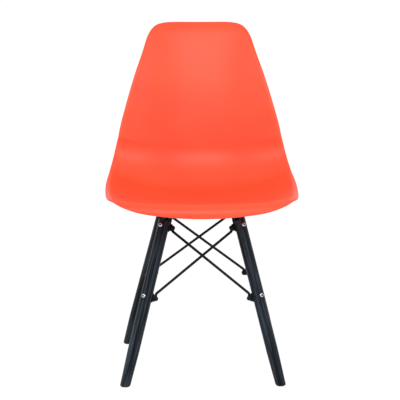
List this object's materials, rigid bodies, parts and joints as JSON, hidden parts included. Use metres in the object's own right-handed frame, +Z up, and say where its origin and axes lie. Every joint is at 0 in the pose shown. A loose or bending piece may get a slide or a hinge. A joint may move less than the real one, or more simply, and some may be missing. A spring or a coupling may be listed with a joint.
{
  "type": "chair",
  "caption": "Side chair for dining: moulded plastic bucket shell on splayed, black-stained wooden dowel legs tied by crossing black steel rods; straight back, no arms",
  "frame": {"origin": "on the floor, below the middle of the chair's overall width and depth", "axes": "+Z up, the sitter faces -Y, +X is the chair's right side as seen from its front; lengths in metres"},
  "size_m": [0.469, 0.5216, 0.8282],
  "materials": {
    "seat_plastic": "fine moulded satin, orange-red all through",
    "stained_wood": "black stain under thin satin lacquer, grain showing blue-grey",
    "glide_plastic": "moulded nylon, plain black",
    "black_steel": "satin black powder coat",
    "black_screw": "black zinc",
    "zinc_steel": "bright zinc plate",
    "mount_rubber": "black, dull",
    "brass_insert": "machined, unplated"
  },
  "bodies": {
    "root": {"seat_shell": "seat_plastic", "leg_front_left": "stained_wood", "foot_glide_front_left": "glide_plastic", "upper_bracket_front_left": "black_steel", "lower_bracket_front_left": "black_steel", "leg_front_right": "stained_wood", "foot_glide_front_right": "glide_plastic", "upper_bracket_front_right": "black_steel", "lower_bracket_front_right": "black_steel", "leg_back_left": "stained_wood", "foot_glide_back_left": "glide_plastic", "upper_bracket_back_left": "black_steel", "lower_bracket_back_left": "black_steel", "leg_back_right": "stained_wood", "foot_glide_back_right": "glide_plastic", "upper_bracket_back_right": "black_steel", "lower_bracket_back_right": "black_steel", "brace_front_outer": "black_steel", "brace_front_inner": "black_steel", "brace_right_outer": "black_steel", "brace_right_inner": "black_steel", "brace_back_outer": "black_steel", "brace_back_inner": "black_steel", "brace_left_outer": "black_steel", "brace_left_inner": "black_steel", "leg_screws": "zinc_steel", "brace_screws": "black_screw", "brace_nuts": "black_screw", "seat_bolts": "zinc_steel", "seat_washers": "zinc_steel", "rubber_mounts": "mount_rubber", "shell_inserts": "brass_insert"}
  },
  "joints": []
}
